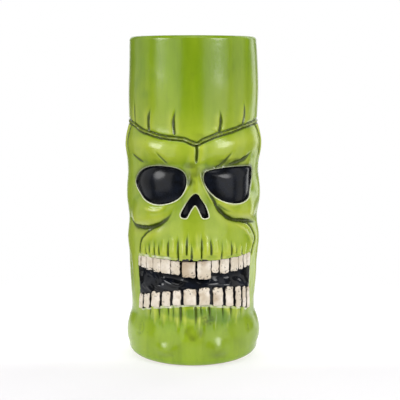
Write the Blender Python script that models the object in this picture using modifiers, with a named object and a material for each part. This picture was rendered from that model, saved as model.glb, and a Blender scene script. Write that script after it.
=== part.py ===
"""A tall glazed tiki mug with a carved skull face, in metres, +Z up, standing on Z = 0.

The face looks along -Y. Everything on it is laid out flat, in face coordinates, and then
wrapped round the mug: across is the arc length to the viewer's right on a cylinder of
WRAP_RADIUS, up is the height above the table, and out is how far a point stands off that
cylinder. Left and right are the viewer's, facing the mug.
"""

import math

import bmesh
import bpy
from mathutils import Vector
from mathutils.geometry import interpolate_bezier

MM = 0.001

# The vessel
HEIGHT = 178 * MM
WRAP_RADIUS = 36 * MM
LIP_OUTER_RADIUS = 35.1 * MM
LIP_THICKNESS = 4.1 * MM
BORE_RADIUS_LOW = 29.6 * MM
FLOOR_THICKNESS = 6 * MM
FLOOR_FILLET = 6 * MM
FOOT_FILLET = 4.5 * MM
FOOT_RING_WIDTH = 4.5 * MM
FOOT_RECESS = 1.2 * MM
FOOT_RADIUS = 32.5 * MM
COLUMNS = 64
COLUMN_CROWDING = 0.38

# Outer wall between the foot and the lip, as (radius, height) in millimetres: a heavy chin,
# a waist at the mouth, cheeks, a neck under the eyes, the brow, and the plain band above it.
WALL_POINTS = (
    (37.0, FOOT_FILLET / MM),
    (37.4, 11),
    (36.7, 18),
    (35.2, 25),
    (35.2, 36),
    (35.5, 48),
    (36.2, 58),
    (36.6, 67),
    (36.1, 77),
    (37.0, 91),
    (36.7, 103),
    (37.1, 116),
    (36.6, 124),
    (35.8, 131),
    (35.9, 147),
    (35.4, 161),
    (LIP_OUTER_RADIUS / MM, 174),
)
WALL_ROWS = 44

# Face relief: name: (across, up, half width, half height, how far it stands out), millimetres
SWELLINGS = {
    "left_brow": (-20, 118, 27, 9.5, 1.9),
    "right_brow": (23, 119, 27, 10, 1.9),
    "nose_bridge": (1, 102, 6.5, 20, 1.9),
    "left_eye_bag": (-27, 81.5, 19, 8.5, 1.7),
    "right_eye_bag": (28, 84, 18, 8.5, 1.7),
    "muzzle": (3, 70, 41, 23, 2.7),
    "lower_lip": (1, 27, 42, 9, 1.0),
    "chin": (1, 12, 50, 16, 0.8),
}
# Carved lines: name: (half width, depth, points as across and up), millimetres
FURROWS = {
    "brow_line": (
        2.2,
        1.0,
        ((-52, 131), (-40, 130), (-26, 127), (-12, 124.5), (2, 122), (14, 126.5), (30, 130), (52, 131)),
    ),
    "brow_cleft": (1.8, 0.9, ((2, 122), (1.6, 111))),
    "left_cheek_line": (2.2, 1.0, ((-9, 88), (-17, 79.5), (-28, 75), (-42, 76))),
    "right_cheek_line": (2.2, 1.0, ((9, 93), (15, 84.5), (26, 79.5), (38, 78), (45, 70))),
}

# Pockets and what is set in them. A set piece keeps GAP to its pocket all round.
GAP = 0.3 * MM
CUTTER_REACH = 9 * MM
EYE_DEPTH = 2.9 * MM
EYE_RIM = -0.9 * MM
EYE_CROWN = 1.2 * MM
NOSE_DEPTH = 3.0 * MM
NOSE_THICKNESS = 1.0 * MM
MOUTH_DEPTH = 3.5 * MM
LINING_THICKNESS = 1.0 * MM
TOOTH_FRONT = 0.9 * MM
TOOTH_EDGE = 0.7 * MM

# Eye outlines, (across, up) in millimetres, anticlockwise as seen from the front
LEFT_EYE = (
    (-3.6, 103.5), (-6.2, 107.8), (-12, 109.3), (-20, 109.2), (-28, 107.4), (-34, 103.2),
    (-35.3, 99.8), (-31, 95.2), (-25, 91.6), (-17, 90.3), (-9, 92.4), (-4.8, 97.5),
)
RIGHT_EYE = (
    (37, 104), (36.4, 107.4), (30, 108.9), (23, 109.4), (16, 108.6), (10, 107),
    (6.5, 105.4), (7.4, 100.5), (11.5, 95.2), (18, 91.6), (25.5, 90.6), (32.8, 93.4), (36, 98.5),
)
# The nose opening is a chevron with rounded ends; clockwise or not makes no difference to a filled curve.
NOSE = (
    (1.0, 95.0), (-1.8, 91.6), (-6.3, 84.9), (-5.4, 83.2), (-3.2, 83.4), (1.1, 89.4),
    (5.4, 83.4), (7.6, 83.2), (8.3, 84.9), (3.8, 91.6),
)

# Teeth, by the across of each one's two sides in millimetres
UPPER_TEETH = (
    (-34.2, -32.2), (-31.5, -27.9), (-27.2, -22.9), (-22.3, -17.8), (-17.4, -12.2), (-11.8, -6.7), (-5.7, 1.5),
    (2.5, 9.7), (10.1, 14.1), (14.6, 20.5), (21.4, 26.5), (26.9, 30.3), (30.9, 33.6), (34.1, 37.2),
)
LOWER_TEETH = (
    (-34.0, -30.7), (-29.7, -25.3), (-24.1, -18.4), (-17.1, -12.1), (-10.9, -6.2), (-5.0, 2.0),
    (3.2, 9.4), (10.6, 16.9), (18.1, 23.5), (24.7, 29.2), (30.3, 33.2), (34.2, 37.0),
)
LONG_TEETH = {6: -1.2, 7: -2.1, 8: 0.9}
MOUTH_LEFT = -35.9
MOUTH_RIGHT = 39.0
GUM_MARGIN = 1.1

GREEN_GLAZE = ("green_glaze", (0.23, 0.34, 0.02), 0.12)
BLACK_GLAZE = ("black_glaze", (0.006, 0.007, 0.009), 0.08)
IVORY_GLAZE = ("ivory_glaze", (0.76, 0.68, 0.50), 0.35)


def wrap(flat):
    """Face coordinates to the mug: x is across, -y is out, z is up."""
    radius = WRAP_RADIUS - flat.y
    angle = flat.x / WRAP_RADIUS
    return Vector((radius * math.sin(angle), -radius * math.cos(angle), flat.z))


def glaze(recipe):
    """The material of a glaze recipe, made once."""
    name, colour, roughness = recipe
    material = bpy.data.materials.get(name)
    if material is None:
        material = bpy.data.materials.new(name)
        material.use_nodes = True
        shader = material.node_tree.nodes["Principled BSDF"]
        shader.inputs["Base Color"].default_value = (*colour, 1)
        shader.inputs["Roughness"].default_value = roughness
        shader.inputs["Metallic"].default_value = 0
    return material


def place(name, mesh, collection, recipe=None):
    """An object of that mesh in that collection, shaded smooth where it has a glaze."""
    made = bpy.data.objects.new(name, mesh)
    collection.objects.link(made)
    if recipe:
        mesh.materials.clear()
        mesh.materials.append(glaze(recipe))
        mesh.shade_smooth()
        mesh.set_sharp_from_angle(angle=math.radians(40))
    return made


def finish_mesh(bm, name):
    """The mesh of a bmesh, with its faces pointing out."""
    bm.normal_update()
    bmesh.ops.recalc_face_normals(bm, faces=bm.faces)
    mesh = bpy.data.meshes.new(name)
    bm.to_mesh(mesh)
    bm.free()
    return mesh


def smooth_line(points, count):
    """That many points evenly along a smooth curve through the given 2D points."""
    knots = [Vector((x, y)) for x, y in points]
    ends = [knots[0], *knots, knots[-1]]
    dense = []
    for before, start, end, after in zip(ends, ends[1:], ends[2:], ends[3:]):
        handle_1 = start + (end - before) / 6
        handle_2 = end - (after - start) / 6
        dense += interpolate_bezier(start, handle_1, handle_2, end, 12)[:-1]
    dense.append(knots[-1])
    reach = [0.0]
    for a, b in zip(dense, dense[1:]):
        reach.append(reach[-1] + (b - a).length)
    found, k = [], 0
    for i in range(count):
        target = reach[-1] * i / (count - 1)
        while k < len(reach) - 2 and reach[k + 1] < target:
            k += 1
        span = reach[k + 1] - reach[k]
        found.append(dense[k].lerp(dense[k + 1], (target - reach[k]) / span))
    return found


def arc(centre, radius, start_degrees, end_degrees, count):
    """Points of an arc in the (radius, height) plane."""
    found = []
    for i in range(count):
        angle = math.radians(start_degrees + (end_degrees - start_degrees) * i / (count - 1))
        found.append(Vector((centre[0] + radius * math.cos(angle), centre[1] + radius * math.sin(angle))))
    return found


def vessel_profile():
    """(radius, height) down the bore's floor, up the bore, over the lip, down the wall and under the foot."""
    lip = LIP_THICKNESS / 2
    bore_top = LIP_OUTER_RADIUS - LIP_THICKNESS
    floor_centre = (BORE_RADIUS_LOW - FLOOR_FILLET, FLOOR_THICKNESS + FLOOR_FILLET)
    wall = smooth_line(WALL_POINTS, WALL_ROWS)
    profile = [Vector((0, FLOOR_THICKNESS)), Vector((12 * MM, FLOOR_THICKNESS))]
    profile += arc(floor_centre, FLOOR_FILLET, -90, 0, 5)
    for share in (0.2, 0.4, 0.6, 0.8):
        radius = BORE_RADIUS_LOW + (bore_top - BORE_RADIUS_LOW) * share
        profile.append(Vector((radius, floor_centre[1] + (HEIGHT - lip - floor_centre[1]) * share)))
    profile += arc((LIP_OUTER_RADIUS - lip, HEIGHT - lip), lip, 180, 0, 7)
    profile += [point * MM for point in reversed(wall)]
    profile += arc((FOOT_RADIUS, FOOT_FILLET), FOOT_FILLET, -18, -90, 4)
    ring_inside = FOOT_RADIUS - FOOT_RING_WIDTH
    profile.append(Vector((ring_inside, 0)))
    profile.append(Vector((ring_inside - FOOT_RECESS, FOOT_RECESS)))
    profile.append(Vector((0, FOOT_RECESS)))
    return profile


def bell(distance_squared):
    """1 at the middle, 0 from distance 1 outwards, smooth at both."""
    return max(0.0, 1 - distance_squared) ** 2


def distance_to_line(point, line):
    nearest = math.inf
    for a, b in zip(line, line[1:]):
        along = b - a
        share = max(0.0, min(1.0, (point - a).dot(along) / along.length_squared))
        nearest = min(nearest, (point - a - along * share).length)
    return nearest


def relief(across, up, furrow_lines):
    """How far the carved face stands off the turned wall, in millimetres, at a place in millimetres."""
    out = 0.0
    for s, z, half_width, half_height, height in SWELLINGS.values():
        out += height * bell(((across - s) / half_width) ** 2 + ((up - z) / half_height) ** 2)
    for half_width, depth, line in furrow_lines:
        out -= depth * bell((distance_to_line(Vector((across, up)), line) / half_width) ** 2)
    return out


def turned_blank(cutters):
    """The mug as it would be thrown, before carving: the profile with a Screw modifier."""
    bm = bmesh.new()
    points = [bm.verts.new((p.x, 0, p.y)) for p in vessel_profile()]
    for a, b in zip(points, points[1:]):
        bm.edges.new((a, b))
    mesh = bpy.data.meshes.new("vessel_profile")
    bm.to_mesh(mesh)
    bm.free()
    blank = place("vessel_profile", mesh, cutters)
    screw = blank.modifiers.new("turn", "SCREW")
    screw.steps = screw.render_steps = COLUMNS
    screw.use_merge_vertices = True
    screw.merge_threshold = 0.0001
    bpy.context.view_layer.update()
    evaluated = blank.evaluated_get(bpy.context.evaluated_depsgraph_get())
    turned = bpy.data.meshes.new_from_object(evaluated)
    bpy.data.objects.remove(blank)
    return turned


def carve(mesh):
    """Crowds the columns towards the face and moves the outer wall in and out by the relief."""
    furrow_lines = [
        (half_width, depth, [Vector(p) for p in points]) for half_width, depth, points in FURROWS.values()
    ]
    wall_inside = BORE_RADIUS_LOW + (LIP_OUTER_RADIUS - BORE_RADIUS_LOW) * 0.6
    for vertex in mesh.vertices:
        x, y, z = vertex.co
        radius = math.hypot(x, y)
        if radius < MM:
            continue
        angle = math.atan2(x, -y)
        angle -= COLUMN_CROWDING * math.sin(angle)
        if radius > wall_inside and z > FOOT_FILLET:
            radius += relief(angle * WRAP_RADIUS / MM, z / MM, furrow_lines) * MM
        vertex.co = (radius * math.sin(angle), -radius * math.cos(angle), z)


def outline_radius(points, clearance):
    """(centre, function giving the outline's distance from it in a direction), in metres."""
    centre = Vector((sum(p[0] for p in points), sum(p[1] for p in points))) / len(points)
    ring = smooth_line((*points[-2:], *points, *points[:2]), 160)
    spokes = sorted(
        (math.atan2(p.y - centre.y, p.x - centre.x), (p - centre).length * MM + clearance) for p in ring
    )

    def reach(angle):
        for (a, ra), (b, rb) in zip(spokes, spokes[1:]):
            if a <= angle <= b and b > a:
                return ra + (rb - ra) * (angle - a) / (b - a)
        return spokes[0][1]

    return centre * MM, reach


def eye_shape(points, clearance=0.0, cutter=False):
    """A lens of that outline from a sphere: flat behind, domed in front. A cutter's front is a straight shaft."""
    centre, reach = outline_radius(points, clearance)
    bm = bmesh.new()
    bmesh.ops.create_uvsphere(bm, u_segments=28, v_segments=12, radius=1)
    for vertex in bm.verts:
        # The sphere's pole is on its Z, which becomes the way out of the face.
        across, up, out = vertex.co
        share = min(1.0, math.hypot(across, up))
        distance = reach(math.atan2(up, across)) if share > 1e-6 else 0.0
        if out >= -1e-6 and cutter:
            share, height = (1.0, EYE_RIM + out * 2 * CUTTER_REACH) if out < 0.6 else (share * 1.25, CUTTER_REACH)
        elif out >= -1e-6:
            height = EYE_RIM + (EYE_CROWN - EYE_RIM) * out
        else:
            share = share**0.4
            height = EYE_RIM + (EYE_DEPTH + EYE_RIM + clearance) * out
        bend = Vector((across, up)).normalized() * distance * share if share else Vector((0, 0))
        vertex.co = wrap(Vector((centre.x + bend.x, -height, centre.y + bend.y)))
    return bm


def nose_shape(collection, offset, behind, front):
    """The chevron of the nose opening as a solid between two heights over the wrapping cylinder."""
    curve = bpy.data.curves.new("nose_outline", "CURVE")
    curve.dimensions = "2D"
    curve.fill_mode = "BOTH"
    curve.extrude = (front - behind) / 2
    curve.offset = offset
    curve.resolution_u = 3
    spline = curve.splines.new("BEZIER")
    spline.bezier_points.add(len(NOSE) - 1)
    for point, (across, up) in zip(spline.bezier_points, NOSE):
        point.co = (across * MM, up * MM, 0)
        point.handle_left_type = point.handle_right_type = "AUTO"
    spline.use_cyclic_u = True
    guide = bpy.data.objects.new("nose_outline", curve)
    collection.objects.link(guide)
    bpy.context.view_layer.update()
    mesh = bpy.data.meshes.new_from_object(guide.evaluated_get(bpy.context.evaluated_depsgraph_get()))
    bpy.data.objects.remove(guide)
    bm = bmesh.new()
    bm.from_mesh(mesh)
    bmesh.ops.remove_doubles(bm, verts=bm.verts, dist=0.02 * MM)
    middle = (front + behind) / 2
    for vertex in bm.verts:
        across, up, out = vertex.co
        vertex.co = wrap(Vector((across, -(middle + out), up)))
    return bm


def slab(left, right, low, high, behind, front, steps, rounding=None):
    """A curved bar from a cube: its sides at left and right, its edges at low(across) and high(across).
    A rounding draws its ends in, like a superellipse of that power."""
    bm = bmesh.new()
    bmesh.ops.create_cube(bm, size=2)
    if steps > 1:
        long_edges = [e for e in bm.edges if abs(e.verts[0].co.x - e.verts[1].co.x) > 1]
        bmesh.ops.subdivide_edges(bm, edges=long_edges, cuts=steps - 1, use_grid_fill=True)
    for vertex in bm.verts:
        share, depth, side = vertex.co
        if rounding:
            share = 0.992 * math.sin(share * math.pi / 2)
        across = (left + right) / 2 + share * (right - left) / 2
        bottom, top = low(across), high(across)
        half = (top - bottom) / 2
        if rounding:
            half *= (1 - abs(share) ** rounding) ** (1 / rounding)
        out = behind if depth > 0 else front
        vertex.co = wrap(Vector((across * MM, -out, ((top + bottom) / 2 + side * half) * MM)))
    return bm


def upper_gum(across):
    return 59.8 + 0.0007 * (across - 2) ** 2


def upper_edge(across):
    return 51.2 + 0.0012 * across**2


def lower_edge(across):
    return 44.3 - 0.0030 * (across - 4) ** 2


def lower_gum(across):
    return 34.9 - 0.0046 * (across - 1) ** 2


def mouth_shape(margin, behind, front):
    """The mouth opening, or what fills it, from gum to gum."""
    return slab(
        MOUTH_LEFT - margin,
        MOUTH_RIGHT + margin,
        lambda across: lower_gum(across) - GUM_MARGIN - margin,
        lambda across: upper_gum(across) + GUM_MARGIN + margin,
        behind,
        front,
        steps=30,
        rounding=14,
    )


def cut(body, cutter):
    cutter.display_type = "WIRE"
    cutter.hide_render = True
    boolean = body.modifiers.new("cut_" + cutter.name, "BOOLEAN")
    boolean.operation = "DIFFERENCE"
    boolean.object = cutter


def make_body(parts, cutters):
    """The slip-cast vessel: turned, carved, then given a pocket for every set piece."""
    mesh = turned_blank(cutters)
    carve(mesh)
    body = place("mug_body", mesh, parts, GREEN_GLAZE)
    pockets = {
        "left_eye_pocket": eye_shape(LEFT_EYE, GAP, cutter=True),
        "right_eye_pocket": eye_shape(RIGHT_EYE, GAP, cutter=True),
        "nose_pocket": nose_shape(cutters, 0.0, -NOSE_DEPTH - GAP, CUTTER_REACH),
        "mouth_pocket": mouth_shape(0.0, -MOUTH_DEPTH, CUTTER_REACH),
    }
    for name, bm in pockets.items():
        cut(body, place(name, finish_mesh(bm, name), cutters))
    return body


def make_eyes(parts):
    for name, points in (("left_eye", LEFT_EYE), ("right_eye", RIGHT_EYE)):
        place(name, finish_mesh(eye_shape(points), name), parts, BLACK_GLAZE)


def make_nose(parts, cutters):
    bm = nose_shape(cutters, -GAP, -NOSE_DEPTH, -NOSE_DEPTH + NOSE_THICKNESS)
    place("nose_lining", finish_mesh(bm, "nose_lining"), parts, BLACK_GLAZE)


def make_mouth(parts):
    behind = -MOUTH_DEPTH + GAP
    bm = mouth_shape(-GAP / MM, behind, behind + LINING_THICKNESS)
    place("mouth_lining", finish_mesh(bm, "mouth_lining"), parts, BLACK_GLAZE)


def make_tooth(parts, name, sides, low, high):
    behind = -MOUTH_DEPTH + LINING_THICKNESS + 2 * GAP
    bm = slab(*sides, low, high, behind, TOOTH_FRONT, steps=2)
    tooth = place(name, finish_mesh(bm, name), parts, IVORY_GLAZE)
    bevel = tooth.modifiers.new("worn_edges", "BEVEL")
    bevel.width = min(TOOTH_EDGE, 0.3 * (sides[1] - sides[0]) * MM)
    bevel.segments = 2
    bevel.limit_method = "ANGLE"
    bevel.angle_limit = math.radians(40)


def make_teeth(parts):
    for i, sides in enumerate(UPPER_TEETH):
        longer = LONG_TEETH.get(i, 0.0)
        make_tooth(parts, f"upper_tooth_{i + 1:02d}", sides, lambda s, drop=longer: upper_edge(s) + drop, upper_gum)
    for i, sides in enumerate(LOWER_TEETH):
        make_tooth(parts, f"lower_tooth_{i + 1:02d}", sides, lower_gum, lower_edge)


def main():
    for existing in list(bpy.data.objects):
        bpy.data.objects.remove(existing)
    parts = bpy.data.collections.new("tiki_mug")
    cutters = bpy.data.collections.new("cutters")
    for collection in (parts, cutters):
        bpy.context.scene.collection.children.link(collection)
    make_body(parts, cutters)
    make_eyes(parts)
    make_nose(parts, cutters)
    make_mouth(parts)
    make_teeth(parts)


main()
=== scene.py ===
# %% [markdown]
# # Finishing a carved and glazed tiki mug
#
# The CAD model of this mug is plain and correct: a turned vessel with pockets, and in the pockets
# two eyes, the linings of the nose and mouth, and 26 teeth. This lesson puts the potter's work on
# it. It carves the face into a fine mesh, cuts each tooth, and mixes the three glazes. It stays
# the measure of every piece that follows.

# %% Load the CAD model as the frame
import math

import bmesh
import bpy
import numpy as np
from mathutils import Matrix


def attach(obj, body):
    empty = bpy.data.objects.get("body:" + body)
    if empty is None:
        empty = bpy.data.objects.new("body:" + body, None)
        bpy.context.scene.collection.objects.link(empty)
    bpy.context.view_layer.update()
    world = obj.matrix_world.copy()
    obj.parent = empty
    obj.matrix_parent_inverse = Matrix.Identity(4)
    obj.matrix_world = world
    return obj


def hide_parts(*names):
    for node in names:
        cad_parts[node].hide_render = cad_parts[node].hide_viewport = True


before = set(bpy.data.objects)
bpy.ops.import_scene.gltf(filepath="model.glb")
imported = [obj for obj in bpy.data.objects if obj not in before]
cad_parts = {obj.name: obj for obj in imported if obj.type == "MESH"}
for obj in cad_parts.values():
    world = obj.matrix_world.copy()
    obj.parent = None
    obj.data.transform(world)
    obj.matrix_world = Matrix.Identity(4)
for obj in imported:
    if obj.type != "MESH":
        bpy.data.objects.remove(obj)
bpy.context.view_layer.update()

# %% [markdown]
# ## Working flat
#
# A face on a cylinder is easier to carve when it is unrolled. Across is the arc length on a
# cylinder of one fixed radius, to the right of a viewer who faces the mug. Up is the height over
# the table. Out is how far a point stands off that cylinder. All three are in millimetres, and
# one function rolls them back round the mug. The other way round, a CAD piece that is unrolled
# tells where the finished piece has to sit.

# %% Face coordinates
MM = 0.001
WRAP = 36.0
GIRTH = 2 * math.pi * WRAP
WAVES = 7


def roll_up(across, up, out):
    """Face coordinates in millimetres as points round the mug, in metres."""
    turn = across / WRAP
    radius = (WRAP + out) * MM
    return np.stack((radius * np.sin(turn), -radius * np.cos(turn), up * MM + 0 * radius), axis=-1)


def unroll(node):
    """(across, up, out) of a CAD node's points, in millimetres."""
    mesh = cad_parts[node].data
    points = np.empty(len(mesh.vertices) * 3)
    mesh.vertices.foreach_get("co", points)
    x, y, z = points.reshape(-1, 3).T / MM
    return WRAP * np.arctan2(x, -y), z, np.hypot(x, y) - WRAP


def ease(x, start, end):
    """0 before start and 1 after end, with a soft step between."""
    share = np.clip((x - start) / np.where(end == start, 1e-9, end - start), 0, 1)
    return share * share * (3 - 2 * share)


def ripple(across, up, wavelength, seed):
    """A soft uneven surface between about -1 and 1: a few sine waves in seeded directions."""
    draw = np.random.default_rng(seed)
    headings, phases = draw.uniform(0, 2 * math.pi, WAVES), draw.uniform(0, 2 * math.pi, WAVES)
    total = 0.0
    for heading, phase, stretch in zip(headings, phases, draw.uniform(0.7, 1.5, WAVES)):
        along = across * math.cos(heading) + up * math.sin(heading)
        total = total + np.sin(2 * math.pi * along / (wavelength * stretch) + phase)
    return total / math.sqrt(2 * WAVES)


print(f"once round the mug is {GIRTH:.1f} mm across")

# %% [markdown]
# ## The wall, as the CAD model has it
#
# The real mug is slip-cast: liquid clay sets against a plaster mould, so the wall is one even
# skin. Its plain turned shape comes from the back of the CAD body, where nothing is carved. The
# rings of points there are read as radius against height, and a smooth curve through them gives
# as many rings as the fine mesh needs.

# %% Read the turned wall from the back of the CAD body
BEHIND, OFF_LIP, SAME_RING = 80, 0.3, 0.02
body_across, body_up, body_out = unroll("mug_body")
HEIGHT = body_up.max()
behind = np.abs(body_across) > BEHIND
lip_out = body_out[body_up > HEIGHT - 0.01].mean()
LIP_MIDDLE = WRAP + lip_out
outside = behind & (body_out > lip_out + OFF_LIP) & (body_up > 4.0) & (body_up < HEIGHT - 3.0)
ring_heights = np.unique(np.round(body_up[outside], 2))
ring_radii = np.array(
    [WRAP + body_out[outside & (np.abs(body_up - z) < SAME_RING)].mean() for z in ring_heights]
)
bore_side = behind & (body_out < lip_out - OFF_LIP) & (body_up > 5)
BORE_TOP = WRAP + body_out[bore_side & (body_up > HEIGHT - 4)].min()
BORE_LOW = WRAP + body_out[bore_side & (body_up < 60)].max()
LIP_RADIUS = LIP_MIDDLE - BORE_TOP


def wall_radius(up):
    """The turned wall's radius at those heights: a cubic through the CAD rings."""
    slopes = np.gradient(ring_radii, ring_heights)
    k = np.clip(np.searchsorted(ring_heights, up) - 1, 0, len(ring_heights) - 2)
    gap = ring_heights[k + 1] - ring_heights[k]
    t = np.clip((up - ring_heights[k]) / gap, -0.2, 1.2)
    low, high = ring_radii[k], ring_radii[k + 1]
    rise = high - low
    bend = (slopes[k] * gap - rise) * (1 - t) - (slopes[k + 1] * gap - rise) * t
    return low + rise * t + t * (1 - t) * bend


print(f"wall: {len(ring_heights)} rings, {ring_radii.min():.1f} to {ring_radii.max():.1f} mm radius")
print(f"lip: bore {BORE_TOP:.2f} mm, middle {LIP_MIDDLE:.2f} mm; bore at the floor {BORE_LOW:.2f} mm")

# %% [markdown]
# ## The carving sheet
#
# The face is carved as one sheet of numbers: how far out the clay stands at each crossing of a
# grid. The grid is finest where the face is and coarse round the back, which puts the detail
# where it shows. A sculptor's brush could do this by hand. Writing each cut as a line of points
# keeps it exact and lets one number deepen every groove. Beside the relief lie sheets of colour:
# the dark wash with painted shade in it, the leaf green, painted highlights on ridges and rims,
# bare clay, and black.

# %% Lay out the grid
FACE_EDGE, SIDE_EDGE = 43.0, 58.0
FINE_STEP, SIDE_STEP, BACK_STEP = 0.47, 0.85, 1.4
FACE_LOW, FACE_HIGH = 26.0, 133.0
FINE_ROW, LOW_ROW, BAND_ROW = 0.5, 1.0, 1.2
WALL_LOW, WALL_HIGH = 4.5, HEIGHT - LIP_RADIUS
EDGE_REACH = 2.0


def stops(*stretches):
    """Values along stretches, each given as (start, end, about how far apart)."""
    found = [stretches[0][0]]
    for start, end, step in stretches:
        count = max(1, round((end - start) / step))
        found += list(np.linspace(start, end, count + 1)[1:])
    return np.array(found)


columns = stops(
    (-GIRTH / 2, -SIDE_EDGE, BACK_STEP),
    (-SIDE_EDGE, -FACE_EDGE, SIDE_STEP),
    (-FACE_EDGE, FACE_EDGE, FINE_STEP),
    (FACE_EDGE, SIDE_EDGE, SIDE_STEP),
    (SIDE_EDGE, GIRTH / 2, BACK_STEP),
)[:-1]
rows = stops((WALL_LOW, FACE_LOW, LOW_ROW), (FACE_LOW, FACE_HIGH, FINE_ROW), (FACE_HIGH, WALL_HIGH, BAND_ROW))
ACROSS, UP = np.meshgrid(columns, rows)
relief, ink_and_shade, leafy, ridge_highlight, bare_and_rim_highlight, blacked = (np.zeros_like(ACROSS) for _ in range(6))
from_edge = np.full_like(ACROSS, EDGE_REACH)
print(f"carving sheet: {len(columns)} columns by {len(rows)} rows")

# %% [markdown]
# ## The carving tools
#
# `swell` adds clay in a soft mound, as for a brow or a cheek. `cut` draws a groove along a line
# of points. Its width and depth fade at both ends as a tool does when it enters and leaves the
# clay, and it can push the clay up on either side. It also lays ink, the dark wash that a
# painter floods into the lines before glazing, and it can spread painted shadow to one side.
# `ridge` and `bead` raise the clay along a line and paint a highlight along its crest, and `dab`
# lays a cloud of colour. `distance_to` serves the lines and the outlines of the eyes, nose and
# mouth alike: it gives how far each point of the sheet is from a line.


# %% Lines, and how far a point is from one
def smooth_line(points, closed=False, steps=6):
    """A smooth line through the points (Catmull-Rom), as an array of (across, up)."""
    knots = np.array(points, float)
    if closed:
        knots = np.vstack((knots[-1], knots, knots[:2]))
    else:
        knots = np.vstack((2 * knots[0] - knots[1], knots, 2 * knots[-1] - knots[-2]))
    found = []
    for p0, p1, p2, p3 in zip(knots, knots[1:], knots[2:], knots[3:]):
        square, cube = 2 * p0 - 5 * p1 + 4 * p2 - p3, 3 * p1 - p0 - 3 * p2 + p3
        for t in np.arange(steps) / steps:
            found.append(0.5 * (2 * p1 + (p2 - p0) * t + square * t**2 + cube * t**3))
    if not closed:
        found.append(knots[-2])
    return np.array(found)


def distance_to(line, across, up, closed=False):
    """(distance, share of the way along, side) from points to a line; side is 1 on its left, else -1."""
    ends = np.roll(line, -1, axis=0) if closed else line[1:]
    starts = line if closed else line[:-1]
    lengths = np.hypot(*(ends - starts).T)
    before = np.concatenate(([0], np.cumsum(lengths)))
    best = np.full(across.shape, np.inf)
    share = np.zeros(across.shape)
    side = np.ones(across.shape)
    for (ax, ay), (bx, by), length, done in zip(starts, ends, lengths, before):
        ux, uy = (bx - ax) / max(length, 1e-9), (by - ay) / max(length, 1e-9)
        along = np.clip((across - ax) * ux + (up - ay) * uy, 0, length)
        dx, dy = across - ax - along * ux, up - ay - along * uy
        distance = np.hypot(dx, dy)
        nearer = distance < best
        best = np.where(nearer, distance, best)
        share = np.where(nearer, (done + along) / before[-1], share)
        side = np.where(nearer, np.where(ux * dy - uy * dx >= 0, 1.0, -1.0), side)
    return best, share, side


def near(line, margin):
    """(where the sheet is within the margin of a line's box, across there, up there)."""
    middle = (line[:, 0].min() + line[:, 0].max()) / 2
    across = ACROSS + GIRTH * np.round((middle - ACROSS) / GIRTH)
    low, high = line.min(axis=0) - margin, line.max(axis=0) + margin
    where = (across > low[0]) & (across < high[0]) & (UP > low[1]) & (UP < high[1])
    return where, across[where], UP[where]


ring = smooth_line(((1, 0), (0, 1), (-1, 0), (0, -1)), closed=True)
print(f"a smooth ring through 4 points has {len(ring)}")

# %% [markdown]
# `near` keeps each tool to the part of the sheet that it touches, so that a hundred cuts take a
# second. A hand trembles a little, and so every groove does.


# %% Mounds and grooves
TREMBLE = 0.22


def lay(sheet, where, amount):
    """Lays colour on a sheet, where there is less of it than that."""
    sheet[where] = np.maximum(sheet[where], amount)


def swell(middle, half_size, height, lean=0.0):
    """A soft mound, with its crest leaning by that many degrees anticlockwise."""
    dx, dy = ACROSS - middle[0], UP - middle[1]
    turn = math.radians(lean)
    u = (dx * math.cos(turn) + dy * math.sin(turn)) / half_size[0]
    v = (dy * math.cos(turn) - dx * math.sin(turn)) / half_size[1]
    relief[:] += height * np.clip(1 - u * u - v * v, 0, None) ** 2


def cut(points, width, depth, dark=1.0, over=(0, 1), under=(0, 1), fade=(0.25, 0.25), shadow_spread=(0, 0), seed=1):
    """A groove along the points.

    over and under are (height, reach) of the clay pushed up to its left and right, and
    shadow_spread is how far painted shadow reaches from it on those sides.
    """
    line = smooth_line(points)
    where, across, up = near(line, width + 3.5 * max(over[1], under[1], *shadow_spread))
    distance, share, side = distance_to(line, across, up)
    taper = ease(share, 0, fade[0]) * ease(1 - share, 0, fade[1])
    wander = 1 + TREMBLE * ripple(across, up, 5.0, seed)
    half = width / 2 * (0.45 + 0.55 * taper) * wander
    valley = np.clip(1 - (distance / half) ** 2, 0, None) ** 1.5
    change = -depth * taper * valley
    for (height, reach), which in ((over, 1.0), (under, -1.0)):
        x = distance / reach
        change = change + np.where(side == which, height * taper * x * np.exp((1 - x * x) / 2), 0)
    relief[where] += change
    core = np.clip(1.25 - distance / (0.62 * half), 0, 1)
    halo = 0.5 * np.exp(-((distance / (1.25 * half)) ** 2))
    lay(ink_and_shade, where, dark * taper * np.maximum(core, halo))
    # Painted shadow, spread off the groove to one side.
    for reach, which in zip(shadow_spread, (1.0, -1.0)):
        if reach:
            lay(ink_and_shade, where, 0.62 * dark * taper * (side == which) * np.exp(-((distance / reach) ** 2)))


# %% [markdown]
# A ridge is a groove of negative depth. The bead is rounder, and has a gutter on either side. On
# both a painted highlight runs along the crest. A dab changes no clay, only colour.


# %% Ridges, the bead and dabs
def ridge(points, width, height, shine=0.45):
    """A soft ridge along the points, with a painted highlight of strength shine along its crest."""
    cut(points, width, -height, dark=0)
    line = smooth_line(points)
    where, across, up = near(line, width)
    distance, share, _ = distance_to(line, across, up)
    # A painted highlight along the crest.
    lay(ridge_highlight, where, shine * np.sin(math.pi * share) ** 0.7 * np.exp(-((distance / (0.3 * width)) ** 2)))


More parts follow.
